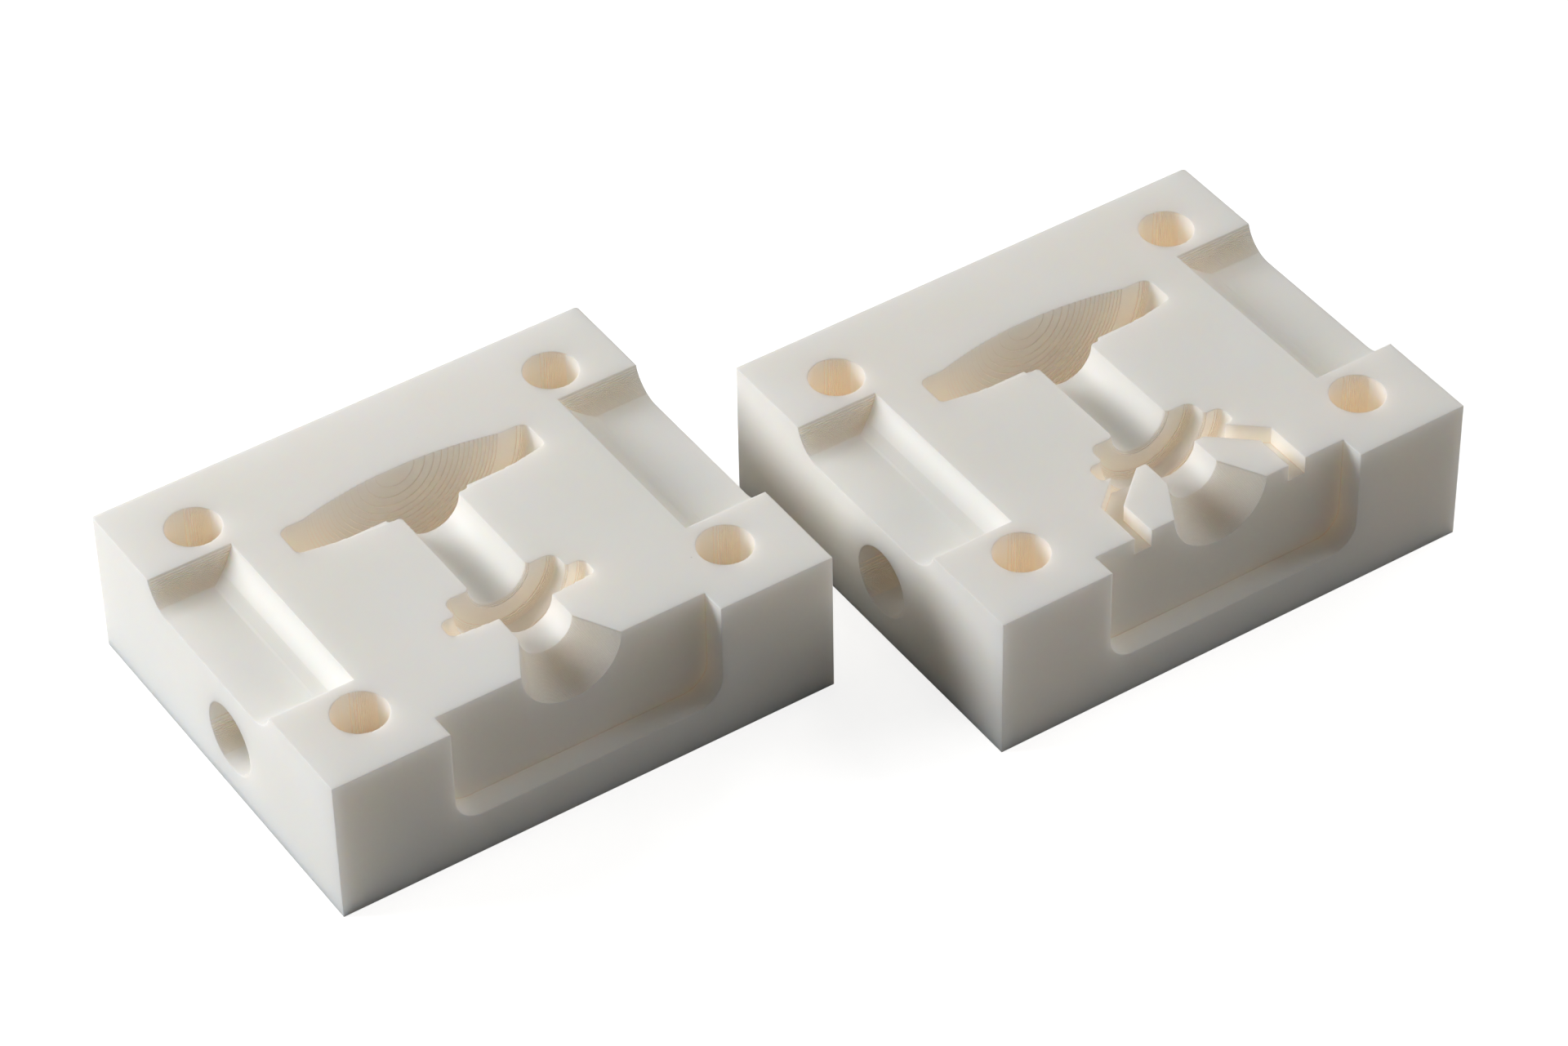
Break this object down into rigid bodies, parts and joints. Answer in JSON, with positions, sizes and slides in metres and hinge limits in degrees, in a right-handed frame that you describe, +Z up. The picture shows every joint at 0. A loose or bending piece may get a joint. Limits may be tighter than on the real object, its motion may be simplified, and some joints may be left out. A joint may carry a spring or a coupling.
{
  "type": "plaster mold",
  "caption": "Split block mold lying open; each half has half of a capped stud cavity with flange, funnel gate, pry pockets, cross bore and corner dowel holes.",
  "frame": {"origin": "on the table, under the middle of the box around both halves", "axes": "+Z up from the table to the parting faces, +Y from the gate ends to the back faces, +X from half A to half B"},
  "size_m": [0.1284, 0.0684, 0.018],
  "materials": {
    "resin": "satin ivory resin with fine layer lines",
    "steel": "ground steel"
  },
  "bodies": {
    "half_a": {"mould_half_a": "resin"},
    "half_b": {"mould_half_b": "resin"},
    "dowel_front_left": {"dowel_pin_front_left": "steel"},
    "dowel_front_right": {"dowel_pin_front_right": "steel"},
    "dowel_back_left": {"dowel_pin_back_left": "steel"},
    "dowel_back_right": {"dowel_pin_back_right": "steel"}
  },
  "joints": [
    {"name": "front_left_dowel_swivel", "type": "hinge", "parent": "half_a", "child": "dowel_front_left", "pos_m": [-0.05625, -0.00775, 0.018], "axis": [0, 0, 1], "range_deg": [0, 18.68]},
    {"name": "half_b_turn_over", "type": "hinge", "parent": "dowel_front_left", "child": "half_b", "pos_m": [0, -0.017, 0.01815], "axis": [-0.1623, -0.9867, 0], "range_deg": [0, 180]},
    {"name": "front_right_dowel_slide", "type": "slide", "parent": "half_a", "child": "dowel_front_right", "axis": [0, 0, 1], "range_m": [0, 0.012]},
    {"name": "back_left_dowel_slide", "type": "slide", "parent": "half_a", "child": "dowel_back_left", "axis": [0, 0, 1], "range_m": [0, 0.012]},
    {"name": "back_right_dowel_slide", "type": "slide", "parent": "half_a", "child": "dowel_back_right", "axis": [0, 0, 1], "range_m": [0, 0.012]}
  ],
  "couplings": [
    {"joint": "front_left_dowel_swivel", "follows": "half_b_turn_over", "ratio": 0.10376}
  ]
}
